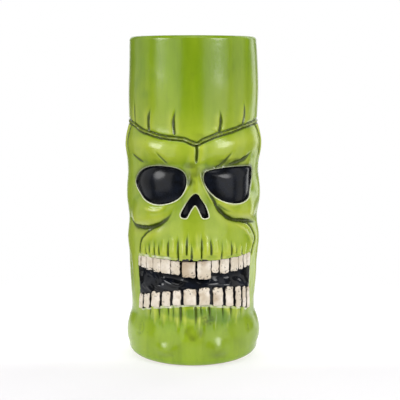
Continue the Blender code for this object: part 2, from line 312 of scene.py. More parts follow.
def bead(points, width, height, gutter, seed=1):
    """A round roll along the points, with a gutter on either side that holds the wash, painted shade deeper
    in the lower gutter, and a painted highlight along the crest.
    """
    line = smooth_line(points)
    where, across, up = near(line, 3 * width)
    distance, _, side = distance_to(line, across, up)
    half = width / 2 * (1 + 0.16 * ripple(across, up, 6.0, seed) * ease(-np.abs(across), -100, -90))
    trough = np.exp(-(((distance - half - 0.25) / 0.5) ** 2))
    sides = 1 - 0.7 * ease(np.abs(across), 36, 46)
    relief[where] += height * sides * np.sqrt(np.clip(1 - (distance / half) ** 2, 0, None)) - gutter * trough
    # Wash in the gutters, with painted shade making the lower gutter darker than the upper.
    lay(ink_and_shade, where, trough * (0.68 + 0.25 * ripple(across, up, 4.0, seed + 1) - 0.2 * side))
    lay(ink_and_shade, where, 0.36 * ease(-distance, -half - 1.2, -half))
    patchy = np.clip(0.6 + 0.6 * ripple(across, up, 5.0, seed + 2), 0.1, 1)
    # A painted highlight along the crest of the roll.
    lay(ridge_highlight, where, 0.62 * patchy * np.exp(-((distance / 0.36) ** 2)) * (np.abs(across) < 44))


def dab(sheet, middle, half_size, amount, grain=3.0, seed=1):
    """A cloudy dab of colour with broken edges."""
    dx, dy = (ACROSS - middle[0]) / half_size[0], (UP - middle[1]) / half_size[1]
    broken = 1 + 0.6 * ripple(ACROSS, UP, grain, seed)
    sheet[:] = np.maximum(sheet, amount * ease(1 - dx * dx - dy * dy, 0, 0.9) * broken)


# %% [markdown]
# ## The masses of the face
#
# A carver blocks out the masses before any line: the two brows, the bridge of the nose, the bag
# under each eye, the muzzle that carries the teeth, and the chin. They are wide and low, under
# three millimetres, because the mug has to stay a cylinder that a hand can hold. The right brow
# sits lower and angrier than the left, as the carving has it.

# %% Block out the masses
# Each has its middle, half its size, its height and how far its crest leans, in degrees.
MASSES = (
    ((-22, 118.5), (27, 9), 1.7, -5), ((24, 119.5), (28, 9.5), 1.7, 9),  # brows
    ((-29, 122), (16, 6), 0.4, -14), ((30, 124), (17, 6), 0.35, 10),  # and their crests
    ((-50, 121), (20, 13), 0.9), ((50, 122), (20, 13), 1.2),  # temples
    ((1.5, 99), (8, 20), 1.8),  # bridge of the nose
    ((-25, 85), (19, 10), 2.3, 10), ((30, 88), (19, 10), 2.3, -12),  # bags under the eyes
    ((-52, 90), (15, 15), 0.5), ((52, 92), (15, 15), 0.9),  # cheekbones
    ((-52, 68), (14, 12), 0.6), ((52, 66), (14, 16), 1.0),  # cheeks
    ((-50, 17), (20, 10), 0.7), ((50, 16), (20, 9.5), 0.8),  # sides of the base
    ((-57, 45), (13, 18), 0.7), ((57, 46), (13, 19), 0.75),  # jaws
    ((-56, 9), (22, 9), 0.5), ((56, 9), (22, 9), 0.6),  # flare over the foot
    ((-42, 47), (6, 15), 0.4), ((48, 47), (6, 15), 0.4),  # corners of the mouth
    ((57, 156), (24, 27), 0.7),  # side of the band
    ((2.5, 69), (39, 20), 2.0), ((2.5, 63), (37, 7), 0.7),  # muzzle and upper lip
    ((2, 29), (38, 7), 0.9),  # lower lip
    ((-14, 8.3), (9, 6.5), 1.6), ((13.5, 9.3), (8, 8), 1.6, 8),  # two bosses on the base
)
for mass in MASSES:
    swell(*mass)
print(f"{len(MASSES)} masses stand out by up to {relief.max():.2f} mm")

# %% [markdown]
# ## The lines of the brow
#
# A round bead runs over both brows, dips to a point in the middle, and goes on round the back,
# where it ends the plain band at the top: it is one line, right round. Short upright nicks in
# the band and slanting ones on the brow give the frown. Each is a few points long: the smooth
# line does the rest.

# %% Lay the bead, and cut the nicks in the band and the frown
BEAD = (
    (-GIRTH / 2, 133), (-80, 132.8), (-58, 132.4), (-46, 131.6), (-38.2, 130.4), (-32, 128.3),
    (-24.8, 126.8), (-17.7, 125.3), (-10.8, 124.6), (-4.4, 123.9), (1.8, 121.6), (5.4, 123.3),
    (9.1, 124.7), (13.5, 126.3), (18.1, 127.3), (23.9, 128.6), (31.5, 130.2), (46, 131.8),
    (60, 132.5), (80, 132.8), (GIRTH / 2, 133),
)
bead(BEAD, 1.25, 0.7, 0.6, seed=3)
RIGHT_TEMPLE = ((43.5, 131.2), (46.2, 127), (47.2, 120), (46.6, 112), (44.5, 104))
LEFT_TEMPLE = ((-43.5, 130.4), (-45.2, 125), (-44.8, 118), (-42, 111))
cut(RIGHT_TEMPLE, 1.8, 0.6, 0.45, over=(0.5, 3), fade=(0, 0.5))
cut(LEFT_TEMPLE, 1.7, 0.5, 0.4, under=(0.5, 3), fade=(0, 0.5))

# For each nick its points, its width and how dark it is.
BAND_NICKS = (
    (((-38.8, 145), (-38.6, 138), (-38.2, 131)), 1.2, 0.6),
    (((-23.3, 141.5), (-25.6, 136), (-25.7, 131), (-25.2, 128)), 1.9, 1.0),
    (((-8.3, 141.5), (-9.9, 136), (-10.2, 131), (-9.6, 126)), 1.9, 1.0),
    (((14.6, 140.5), (15.5, 136), (15.2, 131), (14.2, 127.5)), 1.9, 1.0),
    (((31.2, 144.5), (32.0, 139), (31.4, 134), (30.2, 131)), 1.9, 1.0),
)
for i, (nick, width, dark) in enumerate(BAND_NICKS):
    cut(nick, width, 0.8, dark, over=(0.15, 2), under=(0.3, 2), fade=(0.55, 0.05), seed=20 + i)
for i, across in enumerate((58, 74, 89, 104, 122, 141, 156, 170)):
    nick = ((across, 146 - 2.5 * (i % 3)), (across + 0.8, 139), (across - 0.4, 133.5))
    cut(nick, 2.2, 0.7, 0.7, fade=(0.6, 0.05), seed=40 + i)

# For each line of the frown its points, width, depth, darkness, and what is pushed up and faded.
FLAT = (0, 1)
FOLD = ((21.8, 118.4), (18.3, 114.2), (14.8, 110.6), (11.3, 108.9))
FROWN = (
    (((2.0, 121.5), (2.2, 117), (1.9, 110.5)), 1.6, 0.9, 1.0, (0.45, 2.2), (0.35, 2.2), (0.02, 0.3)),
    (((-20.2, 118.6), (-16.5, 114.5), (-12.5, 110.5)), 1.3, 0.4, 0.5, (0.2, 2), FLAT, (0.5, 0.2)),
    (((-40, 115.6), (-32.2, 112.4), (-27, 110.7)), 1.8, 0.5, 0.5, (0.3, 3), FLAT, (0.4, 0.3)),
    (FOLD, 1.5, 0.7, 0.9, (0.35, 2), FLAT, (0.45, 0.1)),
    (((37, 117), (31, 113.2), (24.2, 111.2), (17, 110.2)), 3.0, 0.9, 0.8, (0.6, 3), FLAT, (0.4, 0.25)),
)
for i, line in enumerate(FROWN):
    cut(*line, seed=60 + i)
print(f"the bead, {len(BAND_NICKS)} nicks in front, 8 behind, and {len(FROWN)} lines of the frown")

# %% [markdown]
# ## The cheeks and the muzzle
#
# Below each eye the skin hangs in a bag that ends in a deep crease. The creases come down from
# the bridge of the nose and sweep out to the sides. Under them a rounder line bounds the muzzle.
# Clay pushed up on one side makes each crease look like a fold, not a scratch, and painted shadow spreads
# from the creases of the bags.

# %% Cut the creases
LEFT_BAG = (
    (-9.5, 88.5), (-12, 83.4), (-15.6, 80), (-19.9, 77.6), (-25.4, 75.9),
    (-32.8, 75.2), (-39, 75.8), (-48, 79.5),
)
RIGHT_BAG = (
    (10.5, 91), (14.2, 86.3), (17.7, 82.9), (21.5, 80.9), (26.4, 79.7),
    (32.1, 78.9), (38.5, 77.2), (48, 75.5),
)
LEFT_BRIDGE = ((-3.6, 108), (-4.6, 101), (-7.4, 95))
RIGHT_BRIDGE = ((4.2, 108), (5.6, 103), (7, 99), (9.5, 94.2), (12.6, 88.4))
RIGHT_FOLD = ((12, 91), (14.5, 88.4), (18, 86), (22, 84.6))
LEFT_MUZZLE = ((-14, 79), (-20.6, 76.6), (-25.8, 73.4), (-29.8, 70), (-32.2, 66), (-33.4, 60))
RIGHT_MUZZLE = ((24, 79.6), (34.6, 77), (41, 71.5), (42.8, 67), (40.6, 62.6), (39.4, 58))
# The creases under the bags carry painted shadow, spread off to the sides by shadow_spread.
cut(LEFT_BAG, 3.2, 1.2, 0.53, over=(0.3, 4), under=(1.2, 4), fade=(0.4, 0.3), shadow_spread=(4.0, 1.2), seed=70)
cut(RIGHT_BAG, 2.8, 1.2, 0.54, over=(1.2, 4), under=(0.3, 3), fade=(0.15, 0.4), shadow_spread=(2.2, 2.4), seed=72)
cut(RIGHT_BRIDGE, 2.2, 0.8, 0.5, over=(0.5, 2.5), fade=(0.35, 0.05), seed=71)
cut(RIGHT_FOLD, 1.6, 0.5, 0.4, over=(0.3, 2), fade=(0.3, 0.5), seed=73)
cut(LEFT_MUZZLE, 1.5, 0.8, 0.75, over=(0.6, 3), fade=(0.5, 0.05), seed=74)
cut(RIGHT_MUZZLE, 1.9, 0.8, 0.7, under=(0.3, 3), fade=(0.3, 0.05), seed=75)
# Ridges with painted highlights along their crests: inside the right muzzle line, under the eyes and down the
# bridge of the nose.
ridge(((22, 79), (27, 76.6), (32.2, 73.2), (36.6, 68.8), (38.6, 63.8), (38.4, 60)), 2.2, 0.5)
ridge(((-28, 87.4), (-23.5, 86.1), (-18.5, 86.1), (-12.8, 89)), 2.8, 0.45)
ridge(((13.2, 92), (17, 90), (22, 88.9), (29, 89.6)), 2.8, 0.45)
ridge(((-0.6, 107), (-1.8, 101), (-4.6, 96), (-8.4, 92)), 2.0, 0.45)
ridge(((3.4, 108), (4.4, 103), (6.4, 98), (9.4, 92.5), (12.6, 87.5)), 2.0, 0.4)
cut(LEFT_BRIDGE, 1.8, 0.6, 0.5, under=(0.2, 2), fade=(0.4, 0.4), seed=76)
print(f"the deepest crease is cut {-relief.min():.2f} mm under the wall")

# %% [markdown]
# ## Puckered lips
#
# Dry skin gathers in short upright pleats over and under the teeth. The pleats of the upper lip
# are closest near the middle. Those of the chin are longer, and two of them are cut hard on
# either side of the middle teeth. Soft ridges stand between them, where the glaze ran thin, and
# carry painted highlights.

# %% Cut the pleats
# A pleat has its place across, its far end and how hard it is cut; a ridge has how strong its painted
# highlight is.
UPPER_PLEATS = (
    (-27, 67, 0.25), (-24.4, 68, 0.3), (-20.8, 71, 0.25), (-18.0, 69.5, 0.45), (-12.6, 73, 0.75),
    (-7.4, 75.5, 0.85), (-2.8, 77, 0.85), (-0.6, 72, 0.8), (4.6, 77, 0.65), (9.2, 73.5, 0.9),
    (15.2, 71, 0.35), (21.0, 71, 0.6), (24.6, 67, 0.25), (29, 67, 0.25),
)
UPPER_RIDGES = (
    (-29, 67, 0.3), (-22.6, 70, 0.35), (-15.6, 72, 0.4), (-10, 73, 0.4), (-5.1, 72, 0.5), (1.9, 76, 0.4),
    (6.9, 74, 0.45), (12.2, 72, 0.35), (18.2, 71, 0.35), (22.8, 69, 0.3), (27, 67, 0.3), (32, 67, 0.3),
)
LOWER_PLEATS = (
    (-25.9, 22, 0.4), (-19.3, 20, 0.45), (-13.4, 22.5, 0.35), (-10.6, 20, 0.25), (-6.5, 17.5, 0.95),
    (1.8, 17.5, 0.95), (4.6, 22, 0.35), (9.3, 21.5, 0.55), (17.2, 19, 0.35), (22.5, 20, 0.4), (30, 22, 0.2),
)
LOWER_RIDGES = (
    (-22.6, 21, 0.2), (-16.4, 20, 0.25), (-8.6, 18, 0.35), (-4.4, 15, 0.3), (3.2, 15, 0.4),
    (7, 19, 0.2), (12.5, 18, 0.4), (19.8, 19, 0.25), (26, 20, 0.2),
)
for i, (across, top, force) in enumerate(UPPER_PLEATS):
    lean = 0.5 * math.sin(3.1 * i)
    low = 60.3 + 1.5 * math.sin(2.3 * i)
    line = ((across - lean, top), (across + 0.4 * lean, (top + 60) / 2), (across + lean, low))
    width, depth = 1.0 + 0.6 * force, 0.3 + 0.5 * force
    cut(line, width, depth, 0.54 * force, (0.4, 1.4), (0.45, 1.4), (0.8, 0.1), seed=90 + i)
# Ridges between the pleats, with painted highlights.
for across, top, shine in UPPER_RIDGES:
    ridge(((across, top), (across + 0.3, 66), (across - 0.3, 60.8)), 2.2, 0.25, shine)
for across, low, shine in LOWER_RIDGES:
    ridge(((across, 34), (across + 0.4, 28), (across - 0.2, low)), 2.4, 0.35, shine)
for i, (across, low, force) in enumerate(LOWER_PLEATS):
    line = ((across - 0.4, 34.6), (across, 29), (across + 0.03 * across - 0.3, low))
    width, depth = 1.2 + 0.9 * force, 0.3 + 0.45 * force
    cut(line, width, depth, 0.68 * force, (0.45, 1.9), (0.45, 1.9), (0.1, 0.75), seed=120 + i)
print(f"{len(UPPER_PLEATS)} pleats over the teeth and {len(LOWER_PLEATS)} under them")

# %% [markdown]
# ## Stains in the glaze
#
# A second brushful of a bluer green was dabbed under the lower teeth, and it mottled as it
# melted. Thin clouds of the wash stain the chin, and darker clouds lie on the bridge of the nose.
# Painted shade is laid in the ink in the inner corners of the eyes, under the brows, over the
# point of the bead and low over the base, where it darkens towards the foot. Two faint darker
# strokes cross the band. Each is a cloudy dab on a sheet of its own, or on the ink. Low on
# either side a small round knot is scratched in.

# %% Dab the stains
# A dab has its middle, half its size and its strength, and one of ink its grain as well.
LEAF_DABS = (
    ((8, 29), (17, 5.5), 0.9), ((-9, 31), (14, 4.5), 0.7), ((17, 26), (7, 5), 0.7),
    ((-30, 156), (13, 16), 0.35),
)
INK_AND_SHADE_DABS = (
    ((0.5, 19), (9, 6), 0.24, 7), ((8.5, 26), (5, 4.5), 0.30, 2.2),  # chin
    ((18.5, 18.5), (3.5, 3), 0.14, 2.4), ((4, 18), (2.5, 1.8), 0.18, 2.4), ((-34, 19), (4, 4), 0.12, 6),
    ((1, 107), (6, 5), 0.3, 7), ((0.3, 98), (2.2, 10), 0.2, 5),  # bridge of the nose
    # Painted shade: the inner corners of the eyes, under the brows, over the point of the bead, and low over
    # the base, darker towards the foot.
    ((-1.6, 103), (2.6, 7), 0.34, 6), ((5, 104), (2.2, 6), 0.34, 6),  # inner corners of the eyes
    ((-1, 110.5), (9, 2.5), 0.24, 9), ((22, 111.5), (17, 3.2), 0.34, 8),  # under the brows
    ((-20, 111.5), (15, 2.4), 0.22, 8), ((1.5, 125), (9, 3.5), 0.24, 12),  # and over the bead
    ((0, 9), (70, 10), 0.13, 15), ((6, 5), (44, 3), 0.12, 14),  # base
)
for middle, half_size, amount in LEAF_DABS:
    dab(leafy, middle, half_size, amount, grain=9.0, seed=150)
for middle, half_size, amount, grain in INK_AND_SHADE_DABS:
    dab(ink_and_shade, middle, half_size, amount, grain, seed=int(160 + middle[0]))
# Two faint darker strokes across the band.
for line, dark in ((((29, 173), (23, 161), (12, 146)), 0.15), (((4, 166), (0, 157), (-3, 145)), 0.14)):
    cut(line, 9.0, 0.03, dark, fade=(0.4, 0.5), seed=190)
for (across, up), radius, dark in (((-34, 18.6), 3.6, 0.34), ((34.5, 18.4), 1.7, 0.4)):
    turns = np.radians(np.linspace(-150, 110, 9))
    knot = np.stack((across + radius * np.cos(turns), up + radius * np.sin(turns)), axis=-1)
    cut(knot, 1.1, 0.25, dark, fade=(0.2, 0.3), seed=180)
print(f"{len(LEAF_DABS)} dabs of leaf green and {len(INK_AND_SHADE_DABS)} of ink")

# %% [markdown]
# ## Where the glaze pools and where it thins
#
# Translucent glaze runs while it melts. It leaves the ridges, where it turns pale and yellow,
# and gathers in the hollows, where it turns deep green. So the carving sheet is compared with a
# blurred copy of itself: below the blur is a hollow, above it a ridge. The clay's own slight
# unevenness goes in first.


# %% Compare the carving with a blurred copy
def blur(sheet, cells):
    """A sheet blurred by a bell of that many cells; it joins up round the back of the mug."""
    reach = int(3 * cells)
    bell = np.exp(-0.5 * (np.arange(-reach, reach + 1) / cells) ** 2)
    bell /= bell.sum()
    wide = np.pad(sheet, ((0, 0), (reach, reach)), mode="wrap")
    wide = np.apply_along_axis(lambda line: np.convolve(line, bell, "valid"), 1, wide)
    tall = np.pad(wide, ((reach, reach), (0, 0)), mode="edge")
    return np.apply_along_axis(lambda line: np.convolve(line, bell, "valid"), 0, tall)


carved = ease(-UP, -134, -128)
broad, small = ripple(ACROSS, UP, 19, seed=7), ripple(ACROSS, UP, 6, seed=8)
unevenness = (0.03 + 0.05 * carved) * broad + 0.03 * carved * small
relief += unevenness * ease(GIRTH / 2 - np.abs(ACROSS), 0, 18)
hollow = blur(relief, 4) - relief
skin = wall_radius(UP) + relief - WRAP
print(f"hollows to {hollow.max():.2f} mm, ridges to {-hollow.min():.2f} mm")

# %% [markdown]
# ## Sockets for the eyes, the nose and the mouth
#
# Each opening has an outline. The signed distance to it is negative inside, which makes the rest
# simple: a soft step down inside the line is the wall of the socket, and a fine bead just
# outside is its rim. Round the eyes and the nose that bead carries a painted highlight, a pale
# line, strong on the lower edge and weak on the upper. Over the upper edge painted shade is
# laid in the ink, which sinks the eyes under the brow. The distance is kept as well. The glaze
# draws the pale rim and the black edge from it, and so they are sharper than the mesh.


# %% Outlines and sockets
def signed_distance(line, across, up):
    """Distance to a closed line, negative inside it."""
    distance = distance_to(line, across, up, closed=True)[0]
    inner = np.zeros(across.shape, bool)
    for (ax, ay), (bx, by) in zip(line, np.roll(line, -1, axis=0)):
        if ay != by:
            crosses = (ay > up) != (by > up)
            inner ^= crosses & (across < (bx - ax) * (up - ay) / (by - ay) + ax)
    return np.where(inner, -distance, distance)


def socket(line, floor, wall=0.9, rim=0.3, rim_highlight=0.0, shade=0.0, spread=1.0):
    """Sinks the sheet inside the line to that floor, with a painted highlight on the rim and painted shade
    above.

    spread makes the band of the pale rim that many times wider.
    """
    where, across, up = near(line, 6.0)
    distance = signed_distance(line, across, up)
    middle = (line[:, 1].min() + line[:, 1].max()) / 2
    below = ease(middle + 3 - up, 0, 4)
    step = ease(-distance, 0.0, wall)
    raised = relief[where] + rim * np.exp(-(((distance - 0.35) / 0.5) ** 2))
    relief[where] = raised * (1 - step) + (floor + WRAP - wall_radius(up)) * step
    from_edge[where] = np.minimum(from_edge[where], np.where(distance > 0, distance / spread, distance))
    # A painted highlight along the rim, strong below and weak above.
    lay(bare_and_rim_highlight, where, rim_highlight * (0.3 + 0.7 * below) * ease(-np.abs(distance), -2, -1))
    # Painted shade over the upper edge, laid in the ink.
    reach = 1.8 + 0.6 * ripple(across, up, 9.0, seed=5)
    lay(ink_and_shade, where, shade * (1 - below) * np.exp(-np.clip(distance, 0, None) / reach))


LEFT_EYE = smooth_line((
    (-3.2, 102.8), (-5.3, 107.2), (-10.5, 109.2), (-19.5, 109.6), (-27, 108.0), (-32.9, 104.6),
    (-35.9, 99.6), (-31.6, 94.6), (-25.8, 91.0), (-17.5, 89.3), (-8.9, 91.8), (-4.4, 96.8),
), closed=True)
RIGHT_EYE = smooth_line((
    (37.4, 105.0), (37.0, 107.4), (34.2, 108.4), (27, 109.0), (20, 109.0), (13, 108.4), (7.6, 107.2),
    (5.8, 105.2), (6.6, 100.4), (10.6, 94.8), (16.8, 90.9), (24.6, 89.6), (31.9, 91.6), (35.9, 96.6),
    (37.2, 101),
), closed=True)
NOSE = smooth_line((
    (1.3, 95.6), (-0.7, 94.0), (-3.3, 90.0), (-5.7, 85.6), (-6.2, 83.8), (-5.5, 82.7), (-3.4, 82.5),
    (-2.6, 83.6), (-0.6, 87.4), (1.3, 89.6), (3.0, 87.4), (4.6, 83.6), (5.6, 82.4), (7.7, 82.5),
    (8.2, 83.8), (6.5, 88.8), (4.0, 92.8), (2.8, 95.0),
), closed=True, steps=4)
socket(LEFT_EYE, -2.6, rim_highlight=0.9, shade=0.62)
socket(RIGHT_EYE, -2.6, rim_highlight=0.8, shade=0.8)
socket(NOSE, -3.0, wall=0.8, rim=0.25, rim_highlight=0.9)
print(f"eye sockets {np.ptp(LEFT_EYE[:, 0]):.1f} and {np.ptp(RIGHT_EYE[:, 0]):.1f} mm wide")

# %% [markdown]
# The gums decide the outline of the mouth. Their edges come from the teeth of the CAD model: the
# lip follows the top of each upper tooth and the foot of each lower one, and it dips a little
# into the gap between two teeth.

# %% The mouth follows the gums
UPPER_TEETH = [f"upper_tooth_{i:02d}" for i in range(1, 15)]
LOWER_TEETH = [f"lower_tooth_{i:02d}" for i in range(1, 13)]


def tooth_box(node):
    """(left, right, low, high) of a CAD tooth, unrolled."""
    across, up, _ = unroll(node)
    return across.min(), across.max(), up.min(), up.max()


LIP_DROPS = {"upper_tooth_01": 1.5, "upper_tooth_02": 1.1, "upper_tooth_03": 0.6}


def gum_points(teeth, edge, bite):
    """Two points for each tooth, on the edge that meets the gum: edge 3 is its top and 2 its foot."""
    found = []
    for node in teeth:
        box = tooth_box(node)
        width = box[1] - box[0]
        level = box[edge] + bite - LIP_DROPS.get(node, 0)
        for across in (box[0] + 0.25 * width, box[1] - 0.25 * width):
            found.append((across, level + 0.3 * float(ripple(across, 0, 5.0, seed=edge))))
    return found


upper_gum = gum_points(UPPER_TEETH, 3, -0.55)
lower_gum = gum_points(LOWER_TEETH, 2, 0.55)
left_corner, right_corner = tooth_box(UPPER_TEETH[0])[0] - 0.6, tooth_box(UPPER_TEETH[-1])[1] + 0.7
low_left, high_left = ((0.9, 35), (-0.3, 45)), ((-0.2, 53), (0.6, 57.4))
right_side = ((-0.5, 59.5), (0.3, 54), (0.3, 44), (-0.9, 35))


def beside(corner, offsets):
    """Points of the outline, each that far to the right of a corner and at that height."""
    return [(corner + across, up) for across, up in offsets]


MOUTH = smooth_line(
    beside(left_corner, high_left) + upper_gum + beside(right_corner, right_side)
    + lower_gum[::-1] + beside(left_corner, low_left),
    closed=True,
    steps=3,
)
socket(MOUTH, -3.3, wall=0.7, rim=0.3, spread=2.4)
print(f"mouth: {left_corner:.1f} to {right_corner:.1f} mm across")

# %% [markdown]
# Along the gums the coat stops in small scallops of bare clay, more of them under the lower teeth
# than over the upper ones. Over the middle teeth some of the black has crept out of the mouth.
# Both only change what the glaze draws there, so they cost no points.

# %% Bare and black edges of the gums
fringe, along, fringe_up = near(MOUTH, 3.0)
scallops = np.clip(0.75 + 0.8 * ripple(along, 0 * along, 5.0, seed=41), 0, 1)
upper_share = 0.1 + 0.7 * ease(-along, 8, 14)
lay(bare_and_rim_highlight, fringe, scallops * np.where(fringe_up > 50, upper_share, 1.0) * ease(-np.abs(along - 3), -39, -36))
for middle, half_size in (((-2.4, 59.4), (4.0, 1.5)), ((5.4, 59.2), (3.6, 1.2)), ((-7.6, 59.2), (1.0, 1.3))):
    dab(blacked, middle, half_size, 1.3, grain=2.6, seed=170)
print(f"bare on {(bare_and_rim_highlight > 0.5).mean():.1%} of the sheet, black on {(blacked > 0.5).mean():.1%}")

# %% [markdown]
# ## How thick the coat is
#
# The coat is paler over the face than over the band above it, and darker towards the foot and
# the lip. Down the middle of the band it is painted darker: painted shade, where the glossy band
# reflects the dark gap between the walls of light. That and the hollows give two sheets of
# numbers from 0 to 1: where the glaze pooled, with the wash and painted shade of the ink in it,
# and where it thinned. The mesh carries them, and the glaze reads them.

# %% Where the glaze pooled and where it thinned
COAT_HEIGHTS = (0, 14, 26, 36, 60, 75, 90, 108, 120, 132, 145, 165, 178)
COAT_THINNESS = (0.10, 0.22, 0.22, 0.45, 0.75, 0.65, 0.50, 0.50, 0.70, 0.60, 0.42, 0.10, 0.05)
# Painted shade: a darker stripe down the middle of the band, where it reflects the dark gap between the walls
# of light.
painted_band_stripe = np.exp(-(((ACROSS + 1) / 14) ** 2)) * ease(UP, 126, 142)
coat = np.interp(UP, COAT_HEIGHTS, COAT_THINNESS) - 0.32 * painted_band_stripe
pooled_and_shade = np.clip(np.maximum((hollow - 0.06) / 0.6 * ease(UP, 20, 34), ink_and_shade), 0, 1)
thinned_and_stripe = np.clip(-hollow / 0.45 * ease(UP, 18, 26) + coat, 0, 1.4) / 1.4
print(f"carved from {relief.min():.2f} to {relief.max():.2f} mm")
print(f"pooled on {(pooled_and_shade > 0.5).mean():.1%} of the sheet, thinned on {(thinned_and_stripe > 0.5).mean():.1%}")

# %% [markdown]
# ## One skin from the floor of the bore to the foot
#
# The rings of the mesh run up the bore, over the rounded lip, down the carved wall and under
# the foot, with the same number of points in each. A Screw modifier could turn such a profile,
# but only the wall is carved, so the rings are laid one by one.


# %% Rings of the bore, the lip and the foot
def ring_arc(centre_radius, centre_up, radius, start, end, count):
    """(radius, up) pairs along an arc, angles in degrees."""
    angles = np.radians(np.linspace(start, end, count))
    return list(zip(centre_radius + radius * np.cos(angles), centre_up + radius * np.sin(angles)))


FLOOR = 6.0
FLOOR_FILLET = 6.0
FOOT_FILLET = 4.5
FOOT_RADIUS = 32.4
FOOT_RING_WIDTH = 4.5
FOOT_RECESS = 1.2
FOOT_DRAFT, DRAFT_TOP = 0.15, 14

bore_heights = np.linspace(FLOOR + FLOOR_FILLET, HEIGHT - LIP_RADIUS, 9)
bore_radii = BORE_LOW + (BORE_TOP - BORE_LOW) * (bore_heights - bore_heights[0]) / np.ptp(bore_heights)
above = [(3, FLOOR), (14, FLOOR)]
above += ring_arc(BORE_LOW - FLOOR_FILLET, FLOOR + FLOOR_FILLET, FLOOR_FILLET, -90, -12, 5)
above += list(zip(bore_radii, bore_heights))
above += ring_arc(LIP_MIDDLE, HEIGHT - LIP_RADIUS, LIP_RADIUS, 165, 15, 9)
ring_inside = FOOT_RADIUS - FOOT_RING_WIDTH
below = ring_arc(FOOT_RADIUS, FOOT_FILLET, FOOT_FILLET, -12, -90, 6)
below += [(ring_inside + 0.4, 0), (ring_inside, 0.3), (ring_inside - 0.5, FOOT_RECESS)]
below += [(16, FOOT_RECESS), (3, FOOT_RECESS)]


def plain_rings(pairs):
    """(out, up) of uncarved rings, one for each (radius, up) pair."""
    radii, heights = (np.array(values)[:, None] + 0 * columns for values in zip(*pairs))
    return radii - WRAP, heights


def grid_faces(rings, around):
    """Quads between one ring and the next, and a flat face over each end."""
    k, j = np.meshgrid(np.arange(rings - 1), np.arange(around), indexing="ij")
    here, above_it, after = k * around, (k + 1) * around, (j + 1) % around
    corners = (here + j, above_it + j, above_it + after, here + after)
    quads = np.stack([corner.ravel() for corner in corners], axis=-1).tolist()
    last = (rings - 1) * around
    return quads + [list(range(around)), list(range(last + around - 1, last - 1, -1))]


# %% [markdown]
# Every piece goes through one function, which makes a mesh of points and faces. It turns the
# faces outwards, keeps the marks on the points, and shades all smooth but the sharp edges.


# %% Make a mesh
def put(name, data):
    """An object in the scene, made of that data."""
    made = bpy.data.objects.new(name, data)
    bpy.context.scene.collection.objects.link(made)
    return made


def add_mesh(name, points, faces, smooth_below=60, **marks):
    """A smooth-shaded object from points in metres; marks are numbers kept on its points."""
    mesh = bpy.data.meshes.new(name)
    mesh.from_pydata(points.reshape(-1, 3).tolist(), [], faces)
    bm = bmesh.new()
    bm.from_mesh(mesh)
    bmesh.ops.recalc_face_normals(bm, faces=bm.faces)
    bm.to_mesh(mesh)
    bm.free()
    for mark, values in marks.items():
        kept = mesh.attributes.new(mark, "FLOAT", "POINT")
        kept.data.foreach_set("value", np.asarray(values, np.float32).ravel())
    mesh.shade_smooth()
    mesh.set_sharp_from_angle(angle=math.radians(smooth_below))
    print(f"{name}: {2 * len(mesh.polygons)} triangles")
    return put(name, mesh)


# %% [markdown]
# Now the carved wall goes between the plain rings, with its relief faded out at the lip and the
# foot. The sheets go along as marks. `sunk` is the kept distance, turned so that it is 0.5 at the
# edge of a socket and more inside.

# %% Build the body
above_out, above_up = plain_rings(above)
below_out, below_up = plain_rings(below)
carved_low, carved_high = ease(UP, WALL_LOW, WALL_LOW + 4), ease(-UP, -WALL_HIGH, -WALL_HIGH + 4)
wall_out = wall_radius(UP) + relief * carved_low * carved_high - WRAP
wall_out -= FOOT_DRAFT * np.clip((DRAFT_TOP - UP) / (DRAFT_TOP - WALL_LOW), 0, 1) ** 2
out = np.vstack((above_out, wall_out[::-1], below_out))
up = np.vstack((above_up, UP[::-1], below_up))
sheets = dict(pooled_and_shade=pooled_and_shade, thinned_and_stripe=thinned_and_stripe, leafy=leafy, ridge_highlight=ridge_highlight, bare_and_rim_highlight=bare_and_rim_highlight, blacked=blacked)
sheets["sunk"] = np.clip(0.5 - from_edge / (2 * EDGE_REACH), 0, 1)
marks = {name: np.vstack((0 * above_out, sheet[::-1], 0 * below_out)) for name, sheet in sheets.items()}
body_points = roll_up(columns + 0 * out, up, out)
mug_body = add_mesh("carved_body", body_points, grid_faces(len(out), len(columns)), **marks)

# %% [markdown]
# ## Domes in the eye sockets
#
# Each eye is a low dome of black glaze, not a ball: it follows the curve of the mug, so it shows
# the studio's tall soft lights as two upright bands. Rings of points shrink from the socket's
# outline to its middle, and a few more rings close the back. The edge of the dome takes its
# height from the skin around it, smoothed, and the pool in the nose is made in the same way.


# %% Make the eyes
EDGE_GAP = 0.22
EDGE_SMOOTHINGS = 30
DOME_BACK, POOL_BACK = -2.5, -2.9


def on_sheet(sheet, across, up):
    """A sheet's value between its crossings."""
    i = np.clip(np.searchsorted(rows, up) - 1, 0, len(rows) - 2)
    j = np.clip(np.searchsorted(columns, across) - 1, 0, len(columns) - 2)
    u = (across - columns[j]) / (columns[j + 1] - columns[j])
    v = (up - rows[i]) / (rows[i + 1] - rows[i])
    low = sheet[i, j] * (1 - u) + sheet[i, j + 1] * u
    high = sheet[i + 1, j] * (1 - u) + sheet[i + 1, j + 1] * u
    return low * (1 - v) + high * v


def shrink(line, by):
    """The line moved inwards by that many millimetres."""
    ahead = np.roll(line, -1, axis=0)
    along = ahead - np.roll(line, 1, axis=0)
    along /= np.hypot(*along.T)[:, None]
    area = np.sum(line[:, 0] * ahead[:, 1] - ahead[:, 0] * line[:, 1])
    inward = np.stack((-along[:, 1], along[:, 0]), axis=-1) * np.sign(area)
    return line + inward * by


